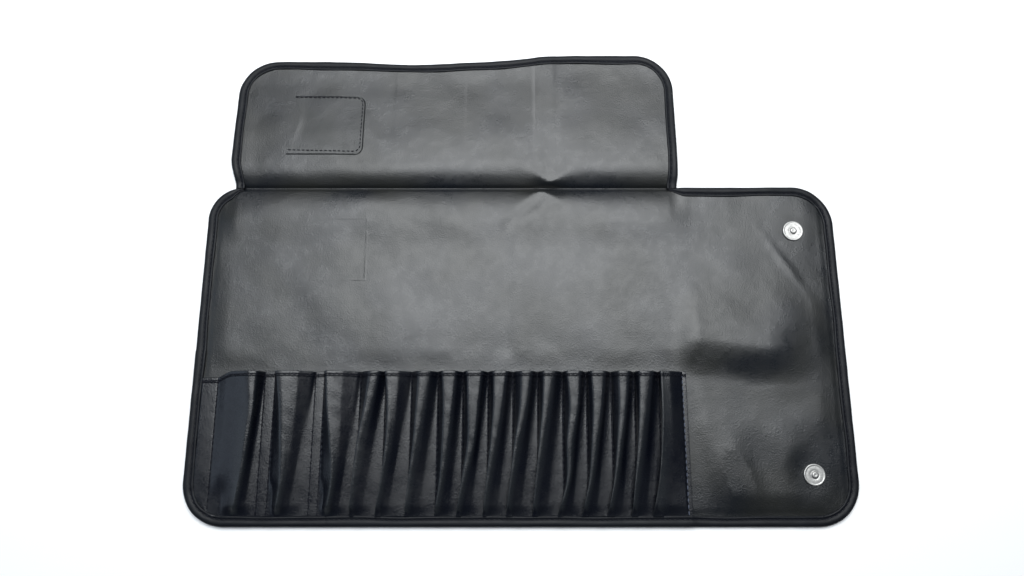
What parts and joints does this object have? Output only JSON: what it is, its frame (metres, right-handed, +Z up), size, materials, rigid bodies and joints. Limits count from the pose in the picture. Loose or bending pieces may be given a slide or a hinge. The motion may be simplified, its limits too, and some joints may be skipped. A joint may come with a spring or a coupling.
{
  "type": "brush roll case",
  "caption": "Flat leathercloth roll for paint brushes: a row of sewn pockets, a fold-over flap above them and an end panel that wraps round and snaps shut.",
  "frame": {"origin": "middle of the underside of the case lying open and flat", "axes": "+X along the case towards the snap panel, +Y from the pocket edge towards the flap, +Z up out of the lining"},
  "size_m": [0.56, 0.424, 0.0138],
  "materials": {
    "shell": "black leathercloth, fine grain, satin",
    "lining": "charcoal leathercloth, fine grain, satin",
    "pocket": "soft charcoal leathercloth, fine grain, satin",
    "tape": "black leathercloth binding, folded and stitched",
    "flap": "charcoal leathercloth, fine grain, satin",
    "patch": "charcoal leathercloth, fine grain, satin",
    "snap": "bright nickel plate, lightly brushed"
  },
  "bodies": {
    "panel_1": {"outer_shell_panel_1": "shell", "lining_panel_1": "lining", "edge_tape_panel_1": "tape", "brush_pockets_1": "pocket"},
    "panel_2": {"outer_shell_panel_2": "shell", "lining_panel_2": "lining", "edge_tape_panel_2": "tape", "brush_pockets_2": "pocket"},
    "panel_3": {"outer_shell_panel_3": "shell", "lining_panel_3": "lining", "edge_tape_panel_3": "tape", "brush_pockets_3": "pocket", "snap_socket_front": "snap", "snap_socket_back": "snap"},
    "panel_4": {"outer_shell_panel_4": "shell", "lining_panel_4": "lining", "edge_tape_panel_4": "tape", "brush_pockets_4": "pocket"},
    "panel_5": {"outer_shell_panel_5": "shell", "lining_panel_5": "lining", "edge_tape_panel_5": "tape", "brush_pockets_5": "pocket"},
    "panel_6": {"outer_shell_panel_6": "shell", "lining_panel_6": "lining", "edge_tape_panel_6": "tape", "brush_pockets_6": "pocket"},
    "panel_7": {"outer_shell_panel_7": "shell", "lining_panel_7": "lining", "edge_tape_panel_7": "tape", "brush_pockets_7": "pocket"},
    "wrap_1": {"outer_shell_wrap_1": "shell", "lining_wrap_1": "lining", "edge_tape_front_wrap_1": "tape", "edge_tape_back_wrap_1": "tape"},
    "wrap_2": {"outer_shell_wrap_2": "shell", "lining_wrap_2": "lining", "edge_tape_wrap_2": "tape", "snap_stud_front": "snap", "snap_stud_back": "snap"},
    "flap_1": {"flap_leather_1": "flap", "flap_edge_tape_1": "tape"},
    "flap_2": {"flap_leather_2": "flap", "flap_edge_tape_2": "tape", "flap_patch_left": "patch"},
    "flap_3": {"flap_leather_3": "flap", "flap_edge_tape_3": "tape", "flap_patch_right": "patch"},
    "flap_4": {"flap_leather_4": "flap", "flap_edge_tape_4": "tape"},
    "flap_5": {"flap_leather_5": "flap", "flap_edge_tape_5": "tape"},
    "flap_6": {"flap_leather_6": "flap", "flap_edge_tape_6": "tape"},
    "flap_7": {"flap_leather_7": "flap", "flap_edge_tape_7": "tape"}
  },
  "joints": [
    {"name": "roll_up", "type": "hinge", "parent": "panel_7", "child": "panel_6", "pos_m": [0.0763, 0, 0.0038], "axis": [0, 1, 0], "range_deg": [0, 60]},
    {"name": "roll_up_panel_5", "type": "hinge", "parent": "panel_6", "child": "panel_5", "pos_m": [0.014, 0, 0.0038], "axis": [0, 1, 0], "range_deg": [0, 60]},
    {"name": "roll_up_panel_4", "type": "hinge", "parent": "panel_5", "child": "panel_4", "pos_m": [-0.0494, 0, 0.0038], "axis": [0, 1, 0], "range_deg": [0, 60]},
    {"name": "roll_up_panel_3", "type": "hinge", "parent": "panel_4", "child": "panel_3", "pos_m": [-0.115, 0, 0.0038], "axis": [0, 1, 0], "range_deg": [0, 60]},
    {"name": "roll_up_panel_2", "type": "hinge", "parent": "panel_3", "child": "panel_2", "pos_m": [-0.1712, 0, 0.0038], "axis": [0, 1, 0], "range_deg": [0, 60]},
    {"name": "roll_up_panel_1", "type": "hinge", "parent": "panel_2", "child": "panel_1", "pos_m": [-0.2137, 0, 0.0038], "axis": [0, 1, 0], "range_deg": [0, 60]},
    {"name": "wrap_closed", "type": "hinge", "parent": "panel_7", "child": "wrap_1", "pos_m": [0.145, 0, 0.0038], "axis": [0, -1, 0], "range_deg": [0, 60]},
    {"name": "wrap_closed_end", "type": "hinge", "parent": "wrap_1", "child": "wrap_2", "pos_m": [0.212, 0, 0.0038], "axis": [0, -1, 0], "range_deg": [0, 60]},
    {"name": "flap_fold", "type": "hinge", "parent": "panel_7", "child": "flap_7", "pos_m": [0, 0.082, 0.0044], "axis": [1, 0, 0], "range_deg": [0, 180]},
    {"name": "flap_fold_panel_6", "type": "hinge", "parent": "panel_6", "child": "flap_6", "pos_m": [0, 0.082, 0.0044], "axis": [1, 0, 0], "range_deg": [0, 180]},
    {"name": "flap_fold_panel_5", "type": "hinge", "parent": "panel_5", "child": "flap_5", "pos_m": [0, 0.082, 0.0044], "axis": [1, 0, 0], "range_deg": [0, 180]},
    {"name": "flap_fold_panel_4", "type": "hinge", "parent": "panel_4", "child": "flap_4", "pos_m": [0, 0.082, 0.0044], "axis": [1, 0, 0], "range_deg": [0, 180]},
    {"name": "flap_fold_panel_3", "type": "hinge", "parent": "panel_3", "child": "flap_3", "pos_m": [0, 0.082, 0.0044], "axis": [1, 0, 0], "range_deg": [0, 180]},
    {"name": "flap_fold_panel_2", "type": "hinge", "parent": "panel_2", "child": "flap_2", "pos_m": [0, 0.082, 0.0044], "axis": [1, 0, 0], "range_deg": [0, 180]},
    {"name": "flap_fold_panel_1", "type": "hinge", "parent": "panel_1", "child": "flap_1", "pos_m": [0, 0.082, 0.0044], "axis": [1, 0, 0], "range_deg": [0, 180]}
  ],
  "couplings": [
    {"joint": "roll_up_panel_5", "follows": "roll_up", "ratio": 1},
    {"joint": "roll_up_panel_4", "follows": "roll_up", "ratio": 1},
    {"joint": "roll_up_panel_3", "follows": "roll_up", "ratio": 1},
    {"joint": "roll_up_panel_2", "follows": "roll_up", "ratio": 1},
    {"joint": "roll_up_panel_1", "follows": "roll_up", "ratio": 1},
    {"joint": "wrap_closed_end", "follows": "wrap_closed", "ratio": 1},
    {"joint": "flap_fold_panel_6", "follows": "flap_fold", "ratio": 1},
    {"joint": "flap_fold_panel_5", "follows": "flap_fold", "ratio": 1},
    {"joint": "flap_fold_panel_4", "follows": "flap_fold", "ratio": 1},
    {"joint": "flap_fold_panel_3", "follows": "flap_fold", "ratio": 1},
    {"joint": "flap_fold_panel_2", "follows": "flap_fold", "ratio": 1},
    {"joint": "flap_fold_panel_1", "follows": "flap_fold", "ratio": 1}
  ]
}
